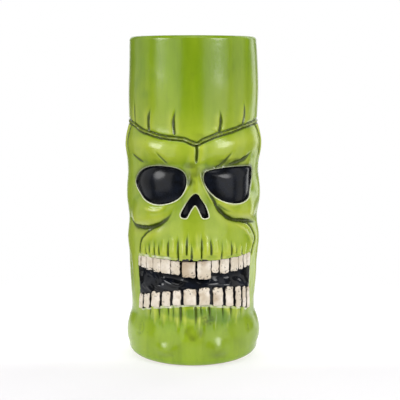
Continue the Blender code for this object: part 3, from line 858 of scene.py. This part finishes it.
def dome(name, outline, sunk, crown, back, rings=26):
    """A closed dome over an outline. sunk is how far its edge lies under the skin around it."""
    edge = shrink(outline, EDGE_GAP)
    middle = edge.mean(axis=0)
    rim = on_sheet(skin, *edge.T) - sunk
    for _ in range(EDGE_SMOOTHINGS):
        rim = (np.roll(rim, 1) + rim + np.roll(rim, -1)) / 3
    level = rim.mean()
    shares = np.sin(np.linspace(0.04, 1, rings) * math.pi / 2)[:, None]
    top = level + (rim - level) * shares**2 + crown * (1 - shares**2) ** 0.9
    heights = np.vstack((top, rim - 0.35, *(back + 0 * rim for _ in range(3))))
    shares = np.vstack((shares, [[0.99], [0.97], [0.5], [0.04]]))
    flat = middle + (edge - middle) * shares[..., None]
    swirl = 0.02 * ripple(flat[..., 0], flat[..., 1], 9, seed=len(name)) * (heights > back)
    points = roll_up(flat[..., 0], flat[..., 1], heights + swirl)
    return add_mesh(name, points, grid_faces(len(heights), len(edge)))


left_eye = dome("left_eye_dome", LEFT_EYE, 0.8, 2.5, DOME_BACK)
right_eye = dome("right_eye_dome", RIGHT_EYE, 0.8, 2.5, DOME_BACK)
nose = dome("nose_pool", NOSE, 2.6, 0.2, POOL_BACK, rings=6)

# %% [markdown]
# ## The dark behind the teeth
#
# Between the rows of teeth the mouth is filled with thick black glaze. It has run into lumps,
# and a ridge behind the lower teeth faces up and catches small sparks of light. The piece is a
# slab between the two gums, with its front face rippled.

# %% Fill the mouth
MOUTH_BACK, UNDER_GUM = -3.2, 0.7
upper_line, lower_line = np.array(upper_gum), np.array(lower_gum)


def mouth_front(across, up):
    """How far out the black glaze stands in the mouth."""
    ridge_top = 45.2 - 0.0022 * (across - 4) ** 2 + 0.5 * ripple(across, 0 * across, 9.0, seed=33)
    slope = ease(-(up - ridge_top), -4.6, 0.4)
    folds = np.sin(1.7 * (across + 1.1 * up) + 2 * ripple(across, up, 14, seed=34)) * ease(-across, 10, 22)
    lumps = 0.9 * ripple(0.6 * across + 0.4 * up, 1.3 * up, 7.0, seed=31) + 0.12 * folds
    lumps = lumps + 0.1 * ripple(0.5 * across + 0.4 * up, 1.5 * up, 3.2, seed=35)
    return -2.7 + 2.2 * slope + 0.42 * lumps * ease(up, 37, 42) * ease(-up, -54, -50)


mouth_columns = np.linspace(left_corner - 0.2, right_corner + 0.2, 240)
low_edge = np.interp(mouth_columns, lower_line[:, 0], lower_line[:, 1]) - UNDER_GUM
high_edge = np.interp(mouth_columns, upper_line[:, 0], upper_line[:, 1]) + UNDER_GUM
mouth_up = low_edge + (high_edge - low_edge) * np.linspace(0, 1, 66)[:, None]
mouth_across = mouth_columns + 0 * mouth_up
front = roll_up(mouth_across, mouth_up, mouth_front(mouth_across, mouth_up))
back = roll_up(mouth_across, mouth_up, MOUTH_BACK + 0 * mouth_up)


def slab_faces(tall, wide):
    """Faces of a closed slab whose front grid is followed by its back grid."""
    half = tall * wide
    k, j = np.meshgrid(np.arange(tall - 1), np.arange(wide - 1), indexing="ij")
    corners = (k * wide + j, k * wide + j + 1, (k + 1) * wide + j + 1, (k + 1) * wide + j)
    quads = np.stack([corner.ravel() for corner in corners], axis=-1)
    rim = list(range(wide)) + [(k + 1) * wide - 1 for k in range(1, tall)]
    rim += list(range(half - 2, half - wide - 1, -1)) + [k * wide for k in range(tall - 2, 0, -1)]
    sides = [[a, a + half, b + half, b] for a, b in zip(rim, rim[1:] + rim[:1])]
    return quads.tolist() + (quads[:, ::-1] + half).tolist() + sides


mouth = add_mesh("mouth_glaze", np.stack((front, back)), slab_faces(*mouth_up.shape), smooth_below=80)

# %% [markdown]
# ## Teeth
#
# Every tooth is cut on its own. A cube is divided finely, its corners are rounded by pushing
# each point out from a smaller box inside, and then it is worn: a crown on the front, waves
# along its free end, faint upright lines, and a lean towards the corners of the mouth. The
# sides stay dark, because the painter's wash settles between the teeth.

# %% Cut the teeth
TOOTH_ROUND, TIGHT_ROUND = 0.75, 0.4
TOOTH_CUTS = 12
CROWDED = -0.25
# For each tooth, in the order of the row: how much is worn off its free end and off its gum end,
# how much it is narrowed, and how far it has gone brown.
UPPER_WEAR = (
    (0.8, 1.5, -0.1, 0.1), (0.8, 1.1, -0.35, 0.0), (0.5, 0.6, -0.35, 0.1), (0.3, 0.1, -0.35, 0.15),
    (0.2, 0.0, -0.3, 0.0), (0.0, 0.9, 0.1, 0.1), (0.0, 1.1, 0.0, 0.5), (-0.2, 0.4, -0.2, 0.3),
    (0.0, 0.0, -0.1, 0.1), (-0.1, 0.0, 0.0, 0.0), (0.0, 0.0, -0.2, 0.0), (0.2, 0.0, -0.2, 0.1),
    (0.3, 0.0, -0.2, 0.1), (0.3, 0.0, -0.2, 0.1),
)
LOWER_WEAR = (
    (2.4, 0.0, -0.1, 0.1), (2.5, 0.0, -0.1, 0.2), (1.9, 0.0, 0.1, 0.0), (1.5, 0.0, 0.1, 0.1),
    (1.1, 0.0, 0.2, 0.1), (0.4, 0.0, 0.2, 0.2), (-0.2, 0.0, 0.3, 0.15), (0.0, 0.0, 0.5, 0.15),
    (-0.2, 0.0, 0.5, 0.1), (-0.2, 0.0, 0.3, 0.0), (0.0, 0.0, 0.0, 0.1), (0.0, 0.0, 0.0, 0.2),
)


def cut_tooth(node, seed, lean, wear):
    """A worn tooth in the place of the CAD one."""
    across, up, out = unroll(node)
    low = np.array((across.min(), up.min(), out.min()))
    high = np.array((across.max(), up.max(), out.max()))
    at_end, at_gum, narrower, brown = wear
    crowded = narrower < CROWDED
    upper = node.startswith("upper")
    low += (narrower / 2, at_end if upper else at_gum, 0)
    high -= (narrower / 2, at_gum if upper else at_end, 0)
    middle, half = (low + high) / 2, (high - low) / 2
    bm = bmesh.new()
    bmesh.ops.create_cube(bm, size=2)
    bmesh.ops.subdivide_edges(bm, edges=bm.edges, cuts=TOOTH_CUTS, use_grid_fill=True)
    bm.verts.ensure_lookup_table()
    cube = np.array([vertex.co for vertex in bm.verts])
    faces = [[vertex.index for vertex in face.verts] for face in bm.faces]
    bm.free()
    full = np.sign(cube) * (1 - (1 - np.abs(cube)) ** 1.25)
    rounding = np.minimum(TIGHT_ROUND if crowded else TOOTH_ROUND, 0.55 * half)
    core = np.clip(full * half, rounding - half, half - rounding)
    away = (full * half - core) / rounding
    away /= np.maximum(np.linalg.norm(away, axis=1), 1e-9)[:, None]
    place = core + away * rounding + middle
    x, y, z = ((place - middle) / half).T
    free_end = ease(-y if upper else y, 0.1, 1)
    wave = ripple(place[:, 0], 0 * x, 3.6, seed) + 0.4 * ripple(place[:, 0], 0 * x, 1.6, seed + 1)
    place[:, 1] += 0.32 * wave * free_end + (0.4 if upper else -0.35) * np.abs(x) ** 5 * free_end
    bent = 0.24 * ripple(place[:, 1], 0 * x, 3.4, seed + 2) * np.abs(x)
    place[:, 0] += lean * (place[:, 1] - middle[1]) + bent
    grain = 0.05 * ripple(place[:, 0] * 3, place[:, 1] * 0.5, 3.0, seed + 3)
    place[:, 2] += ease(z, 0.2, 0.9) * (0.28 * (1 - x * x) * (1 - 0.4 * y * y) + grain)
    depth = high[2] + 0.2 - place[:, 2]
    touching = ease(ripple(place[:, 1], 0 * x, 7.0, seed + 9), 0.4, -0.3) if crowded else 1
    stained = touching * ease(depth, 0.35, 1.0)
    name = node.replace("_tooth_", "_set_tooth_")
    return add_mesh(name, roll_up(*place.T), faces, stained=stained, free_end=free_end, brown=brown + 0 * x)


teeth = {}
for i, (node, wear) in enumerate(zip(UPPER_TEETH + LOWER_TEETH, UPPER_WEAR + LOWER_WEAR)):
    left, right = tooth_box(node)[:2]
    middle = (left + right) / 2
    lean = (0.0 if node in UPPER_TEETH else -0.0042) * (middle if middle < 0 else 0.4 * middle)
    teeth[node] = cut_tooth(node, 200 + 7 * i, lean, wear)
print(f"{len(teeth)} teeth")

# %% [markdown]
# ## Writing a glaze as a sum
#
# A material is a net of nodes. Wiring it by hand is slow to read, so one small class
# wraps a socket and lets Python's own signs build the net: `1 - pooled * 0.5` adds two Math
# nodes. Colours are mixed with Mix nodes, because a Math node would turn them grey. Every other
# node comes from one method, which takes its type, its settings and what its sockets hold.


# %% A socket that can be reckoned with
class Reading:
    """A number or colour that changes over a surface."""

    def __init__(self, glaze, socket):
        self.glaze = glaze
        self.socket = socket

    def maths(self, operation, first, second):
        return self.glaze.node("ShaderNodeMath", {"operation": operation}, {0: first, 1: second})

    def __add__(self, other):
        return self.maths("ADD", self, other)

    def __sub__(self, other):
        return self.maths("SUBTRACT", self, other)

    def __rsub__(self, other):
        return self.maths("SUBTRACT", other, self)

    def __mul__(self, other):
        return self.maths("MULTIPLY", self, other)

    __radd__ = __add__
    __rmul__ = __mul__

    def between(self, low, high):
        """0 where this is at low and 1 where it is at high, with a soft step between."""
        sockets = {"Value": self, "From Min": low, "From Max": high}
        return self.glaze.node("ShaderNodeMapRange", {"interpolation_type": "SMOOTHSTEP"}, sockets)

    def most(self, other):
        return self.maths("MAXIMUM", self, other)


# %% [markdown]
# A glaze is one Principled surface and what feeds it. This class makes the material, and its
# methods make the nodes that the glazes share: noise, mixed colours, bumps, and the marks that
# the mesh carries.


# %% A glaze, and the methods that wire it
class Glaze:
    """A material with one Principled surface, and the methods that wire it."""

    def __init__(self, name):
        self.material = bpy.data.materials.new(name)
        self.material.use_nodes = True
        self.tree = self.material.node_tree
        self.surface = self.tree.nodes["Principled BSDF"]

    def node(self, kind, settings, sockets, output=0):
        made = self.tree.nodes.new(kind)
        for setting, value in settings.items():
            setattr(made, setting, value)
        for key, value in sockets.items():
            self.fill(made.inputs[key], value)
        return Reading(self, made.outputs[output])

    def fill(self, socket, value):
        if isinstance(value, Reading):
            self.tree.links.new(value.socket, socket)
        elif isinstance(value, tuple) and len(socket.default_value) == 4:
            socket.default_value = (*value, 1)
        else:
            socket.default_value = value

    def mark(self, name):
        """A number kept on the mesh's points."""
        return self.node("ShaderNodeAttribute", {"attribute_name": name}, {}, "Fac")

    def place(self):
        return self.node("ShaderNodeTexCoord", {}, {}, "Object")

    def along(self, axis):
        """How far along that axis a point is, in metres."""
        return self.node("ShaderNodeSeparateXYZ", {}, {"Vector": self.place()}, axis)

    def stretched(self, x, y, z):
        """The place, with each direction scaled, so that a pattern can be drawn out."""
        return self.node("ShaderNodeVectorMath", {"operation": "MULTIPLY"}, {0: self.place(), 1: (x, y, z)})

    def cloud(self, scale, detail=2.0, roughness=0.5, where=None):
        """Soft noise around 0.5, so many lumps to a metre."""
        sockets = {"Vector": where or self.place(), "Scale": scale, "Detail": detail, "Roughness": roughness}
        return self.node("ShaderNodeTexNoise", {}, sockets)

    def mix(self, share, first, second):
        """first where share is 0 and second where it is 1, as colours."""
        return self.node("ShaderNodeMix", {"data_type": "RGBA"}, {0: share, 6: first, 7: second}, 2)

    def bumps(self, height, distance, under=None):
        sockets = {"Height": height, "Distance": distance, "Strength": 1.0}
        if under:
            sockets["Normal"] = under
        return self.node("ShaderNodeBump", {}, sockets)

    def finish(self, **sockets):
        """Fills the surface's sockets, named in small letters, and gives the material."""
        for name, value in sockets.items():
            self.fill(self.surface.inputs[name.replace("_", " ").title().replace("Ior", "IOR")], value)
        return self.material


# %% [markdown]
# ## The green glaze
#
# The green is thin and clear over pale clay, brushed on by hand: cloudy, streaked, deeper where
# the strokes overlap. Where the mesh says that it pooled, and where the ink lays painted shade,
# it goes to a dark olive, and where it thinned on a ridge it goes to yellow. Along the crests of
# ridges and the bead it turns pale with a painted highlight. At a socket the kept distance draws
# the edges: half a millimetre to one outside it the rim is pale, bare clay along the gums and a
# painted highlight round the eyes and nose, and inside it all is black. The foot is wiped dry
# before firing, so the ring that touches the table is bare clay.

# %% Mix the green glaze
LIME = (0.215, 0.340, 0.004)
DEEP_LIME = (0.155, 0.255, 0.003)
YELLOW_LIME = (0.430, 0.505, 0.045)
LEAF = (0.085, 0.195, 0.016)
OLIVE_WASH_AND_SHADE = (0.072, 0.102, 0.006)
DARK_WASH_AND_SHADE = (0.016, 0.024, 0.002)
BLACK = (0.0022, 0.0026, 0.0036)
HIGHLIGHT_AND_BARE_EDGE = (0.66, 0.68, 0.48)
BARE_CLAY = (0.62, 0.54, 0.42)
RIM_STARTS, BLACK_STARTS = (0.31, 0.37), (0.465, 0.49)
FOOT_DRY = (0.0008, 0.0003)


def green_glaze():
    glaze = Glaze("green_glaze")
    pooled_and_shade, thinned_and_stripe, sunk = glaze.mark("pooled_and_shade"), glaze.mark("thinned_and_stripe"), glaze.mark("sunk")
    brushed = glaze.cloud(38, 3, 0.55, glaze.stretched(1, 1, 0.55))
    streaks = glaze.cloud(95, 2, 0.5, glaze.stretched(1, 1, 0.16))
    slanting = {"Vector": glaze.place(), "Rotation": (0, math.radians(52), 0), "Scale": (1.0, 1.0, 0.12)}
    strokes = glaze.cloud(240, 3, 0.6, glaze.node("ShaderNodeMapping", {}, slanting))
    blotches = glaze.cloud(210, 3, 0.6)
    colour = glaze.mix(brushed.between(0.38, 0.68) * 0.8, LIME, DEEP_LIME)
    colour = glaze.mix(streaks.between(0.50, 0.76) * 0.15, colour, YELLOW_LIME)
    colour = glaze.mix(blotches.between(0.52, 0.75) * 0.25, colour, DEEP_LIME)
    colour = glaze.mix(strokes.between(0.44, 0.68) * 0.6, colour, DEEP_LIME)
    colour = glaze.mix((thinned_and_stripe + (blotches - 0.5) * 0.5 * thinned_and_stripe) * 0.95, colour, YELLOW_LIME)
    colour = glaze.mix((glaze.mark("leafy") + (brushed - 0.5) * 0.5).between(0.10, 1.0) * 0.75, colour, LEAF)
    # The wash and the painted shade laid in the ink go to olive and near black.
    wash_and_shade = pooled_and_shade * 1.05 + (blotches - 0.5) * pooled_and_shade * 0.5
    colour = glaze.mix(wash_and_shade.between(0.04, 0.62), colour, OLIVE_WASH_AND_SHADE)
    colour = glaze.mix(wash_and_shade.between(0.75, 1.35), colour, DARK_WASH_AND_SHADE)
    pits = glaze.cloud(620, 2, 0.7).between(0.68, 0.76) * glaze.cloud(60, 1).between(0.46, 0.62)
    colour = glaze.mix(pits * 0.55, colour, OLIVE_WASH_AND_SHADE)
    # Painted highlights on the crests of ridges and the bead.
    colour = glaze.mix(glaze.mark("ridge_highlight").between(0.2, 0.9), colour, HIGHLIGHT_AND_BARE_EDGE)
    # The pale rim: bare clay along the gums, a painted highlight round the eyes and nose.
    colour = glaze.mix(sunk.between(*RIM_STARTS) * glaze.mark("bare_and_rim_highlight"), colour, HIGHLIGHT_AND_BARE_EDGE)
    black = sunk.between(*BLACK_STARTS).most(glaze.mark("blacked").between(0.35, 0.6))
    colour = glaze.mix(black, colour, BLACK)
    foot = glaze.along("Z").between(*FOOT_DRY)
    colour = glaze.mix(foot, colour, BARE_CLAY)
    rough = (0.15 + 0.12 * blotches + 0.06 * pooled_and_shade).most(foot * 0.75)
    orange_peel = glaze.bumps(glaze.cloud(420, 2), 0.00005)
    waves = glaze.bumps(glaze.cloud(75, 1) + strokes * 0.12, 0.00016, under=orange_peel)
    return glaze.finish(base_color=colour, roughness=rough, normal=waves)


GREEN = green_glaze()
print(f"green_glaze: {len(GREEN.node_tree.nodes)} nodes")

# %% [markdown]
# ## The black and the ivory
#
# The black glaze is glossy, and a blue sheen of reflection is painted into its colour in clouds.
# Tiny dimples blur its edges. In the mouth it is duller at the top, and lower down, where it ran
# together, a wet coat lies over it. The ivory is a satin glaze over a stained body: warm
# patches, dark specks along the free ends of the teeth, and the wash between them.

# %% Mix the black and the ivory glaze
PAINTED_BLUE_SHEEN = (0.005, 0.007, 0.013)
IVORY = (0.62, 0.54, 0.42)
PALE_IVORY = (0.76, 0.69, 0.59)
TAN = (0.40, 0.29, 0.17)
SOOT = (0.012, 0.009, 0.007)


def black_glaze(name, gleam, wet=None):
    """wet is (from, to): the heights between which a second, wetter coat begins, going down."""
    glaze = Glaze(name)
    sheen_clouds = glaze.cloud(160, 3, 0.6)
    # A painted blue sheen of reflection, in clouds.
    colour = glaze.mix(sheen_clouds.between(0.35, 0.7), BLACK, PAINTED_BLUE_SHEEN)
    rough = 0.14 + 0.14 * sheen_clouds
    normal = glaze.bumps(glaze.cloud(300, 2), 0.00005)
    if wet:
        glaze.finish(coat_weight=0.45 * glaze.along("Z").between(*wet), coat_roughness=0.05)
    return glaze.finish(base_color=colour, roughness=rough, normal=normal, specular_ior_level=gleam)


def ivory_glaze():
    glaze = Glaze("ivory_glaze")
    stained, free_end = glaze.mark("stained"), glaze.mark("free_end")
    patches = glaze.cloud(120, 3, 0.6)
    specks = glaze.cloud(900, 2, 0.65)
    colour = glaze.mix(patches.between(0.35, 0.6), PALE_IVORY, IVORY)
    browned = (glaze.cloud(140, 2) + glaze.mark("brown") * 0.5).between(0.58, 0.85)
    colour = glaze.mix(browned * 0.7, colour, TAN)
    grime = (free_end * 0.12 + stained * 0.4 + specks).between(0.64, 0.74)
    colour = glaze.mix(grime * 0.85, colour, SOOT)
    colour = glaze.mix(stained.between(0.1, 0.75), colour, SOOT)
    rough = 0.30 + 0.25 * patches
    lines = glaze.bumps(glaze.cloud(260, 2, 0.5, glaze.stretched(2.5, 2.5, 0.4)), 0.00018)
    return glaze.finish(base_color=colour, roughness=rough, normal=lines)


BLACK_GLAZE = black_glaze("black_glaze", 0.26)
POOLED_BLACK = black_glaze("pooled_black_glaze", 0.12, wet=(0.0505, 0.0465))
IVORY_GLAZE = ivory_glaze()
print(f"ivory_glaze: {len(IVORY_GLAZE.node_tree.nodes)} nodes")

# %% [markdown]
# ## Dressing the pieces
#
# Each finished piece stands for a CAD piece, takes a glaze, and rides on the mug's one body.


# %% Hand the pieces to the frame
def dress(piece, node, glaze):
    piece.data.materials.append(glaze)
    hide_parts(node)
    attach(piece, "root")


dress(mug_body, "mug_body", GREEN)
dress(left_eye, "left_eye", BLACK_GLAZE)
dress(right_eye, "right_eye", BLACK_GLAZE)
dress(nose, "nose_lining", BLACK_GLAZE)
dress(mouth, "mouth_lining", POOLED_BLACK)
for node, tooth in teeth.items():
    dress(tooth, node, IVORY_GLAZE)
print(f"{5 + len(teeth)} pieces stand for CAD pieces")

# %% [markdown]
# ## The table
#
# The mug stands on a white table. Its glow is painted light, as of a lit sheet of paper, brighter
# at the back than in front, and it fades out before its edge, so that no horizon shows.

# %% Set the table
TABLE_RADIUS = 0.24
TABLE_TONES = ((0.60, 0.585, 0.61), (0.62, 0.605, 0.63))
FRONT_GLOW, BACK_GLOW = (0.38, 0.38, 0.38), (0.8, 0.8, 0.8)


def table_top():
    """A white disc that fades out towards its edge, so that it has no horizon."""
    mesh = bpy.data.meshes.new("table")
    bm = bmesh.new()
    bmesh.ops.create_circle(bm, cap_ends=True, segments=64, radius=TABLE_RADIUS)
    bm.to_mesh(mesh)
    bm.free()
    table = put("table", mesh)
    table.location.z = -0.0002
    white = Glaze("white_table")
    tone = white.mix(white.cloud(3, 2).between(0.3, 0.7), *TABLE_TONES)
    away = white.node("ShaderNodeVectorMath", {"operation": "LENGTH"}, {0: white.place()}, "Value")
    shown = away.between(0.9 * TABLE_RADIUS, 0.3 * TABLE_RADIUS)
    # Painted light: the table glows brighter at the back than in front.
    glow = white.mix(white.along("Y").between(-0.045, 0.03), FRONT_GLOW, BACK_GLOW)
    white.finish(base_color=tone, roughness=0.9, specular_ior_level=0.0, alpha=shown)
    mesh.materials.append(white.finish(emission_color=glow, emission_strength=1.0))


table_top()
print(f"table: a disc {2 * TABLE_RADIUS:.2f} m across")

# %% [markdown]
# ## The light
#
# All stands in a light tent. Two tall soft walls of light, left and right, leave a gap for the
# camera, and a glossy cylinder shows that gap as a darker stripe down its middle. Two dimmer
# walls further round light its sides, and one behind it lights its back. A narrow panel behind
# on the right draws the bright edge there. Two lamps above the walls put the small highlights on
# every surface that faces up, and a panel overhead lights the rim and the table.

# %% Hang the lights
# Each has its name, azimuth, elevation, distance, (width, height) and radiance.
LIGHTS = (
    ("left_wall_of_light", -43, 6, 1.1, (0.96, 1.1), 1.3),
    ("right_wall_of_light", 41, 6, 1.1, (0.92, 1.1), 1.4),
    ("left_far_wall", -104, 10, 1.1, (0.85, 1.6), 0.6),
    ("right_far_wall", 88, 10, 1.1, (0.6, 1.6), 0.8),
    ("right_strip", 133, 12, 1.0, (0.28, 1.6), 1.9),
    ("back_wall", 180, 12, 1.4, (1.3, 1.9), 1.1),
    ("left_lamp", -59, 21, 1.0, (0.46, 0.42), 8.0, "ELLIPSE"),
    ("right_lamp", 46, 21, 1.0, (0.46, 0.42), 8.0, "ELLIPSE"),
    ("overhead", 0, 66, 1.2, (1.0, 0.6), 2.2),
)


def soft_light(name, azimuth, elevation, distance, size, radiance, shape="RECTANGLE"):
    """A panel that faces the mug. Azimuth 0 is in front of the face, and grows to the right."""
    light = bpy.data.lights.new(name, "AREA")
    light.shape = shape
    light.size, light.size_y = size
    light.energy = radiance * math.pi * size[0] * size[1] * (math.pi / 4 if shape == "ELLIPSE" else 1)
    lamp = put(name, light)
    a, e = math.radians(azimuth), math.radians(elevation)
    reach = np.array((math.sin(a) * math.cos(e), -math.cos(a) * math.cos(e), math.sin(e)))
    lamp.location = np.array((0, 0, HEIGHT / 2 * MM)) + distance * reach
    lamp.rotation_euler = (math.pi / 2 - e, 0, a)
    lamp.visible_camera = False


for light in LIGHTS:
    soft_light(*light)
print(f"{len(LIGHTS)} lights")

# %% [markdown]
# The tent's cloth is the world. What the camera sees of it is pure white, and what falls on the
# mug from it is faint, so that the panels do the modelling. A Mix Shader tells the two apart.

# %% Wrap the tent round
CLOTH_SEEN, CLOTH_FELT = 1.0, 0.10

world = bpy.data.worlds.new("white_tent")
bpy.context.scene.world = world
world.use_nodes = True
tent = world.node_tree
tent.nodes.clear()
choose, ray = tent.nodes.new("ShaderNodeMixShader"), tent.nodes.new("ShaderNodeLightPath")
tent.links.new(ray.outputs["Is Camera Ray"], choose.inputs[0])
for side, strength in ((1, CLOTH_FELT), (2, CLOTH_SEEN)):
    cloth = tent.nodes.new("ShaderNodeBackground")
    cloth.inputs["Color"].default_value = (1, 1, 1, 1)
    cloth.inputs["Strength"].default_value = strength
    tent.links.new(cloth.outputs[0], choose.inputs[side])
tent.links.new(choose.outputs[0], tent.nodes.new("ShaderNodeOutputWorld").inputs["Surface"])
print(f"white_tent: {len(tent.nodes)} nodes")

# %% [markdown]
# ## The camera
#
# A long lens from just under the level of the rim: the lip shows no opening, and the foot curves.

# %% Place the camera
CAMERA_PLACE = (3.9, -520.0, 165.0)
CAMERA_AIM = (3.9, 0.0, 86.6)
LENS, SENSOR = 83.3, 36.0

camera = put("camera", bpy.data.cameras.new("camera"))
camera.data.lens = LENS
camera.data.sensor_width = SENSOR
camera.data.clip_start = 0.01
camera.location = np.array(CAMERA_PLACE) * MM
tilt = math.atan2(CAMERA_PLACE[2] - CAMERA_AIM[2], CAMERA_AIM[1] - CAMERA_PLACE[1])
camera.rotation_euler = (math.pi / 2 - tilt, 0, 0)
bpy.context.scene.camera = camera
bpy.context.scene.view_settings.view_transform = "Standard"
bpy.context.scene.view_settings.look = "None"
print(f"camera: a {LENS} mm lens, {math.degrees(tilt):.1f} degrees down")

# %% [markdown]
# ## Finish
#
# The view layer is brought up to date, so that every piece stands in place. The finished mug
# has to stay in the CAD model's box.

# %% Finish
bpy.context.view_layer.update()
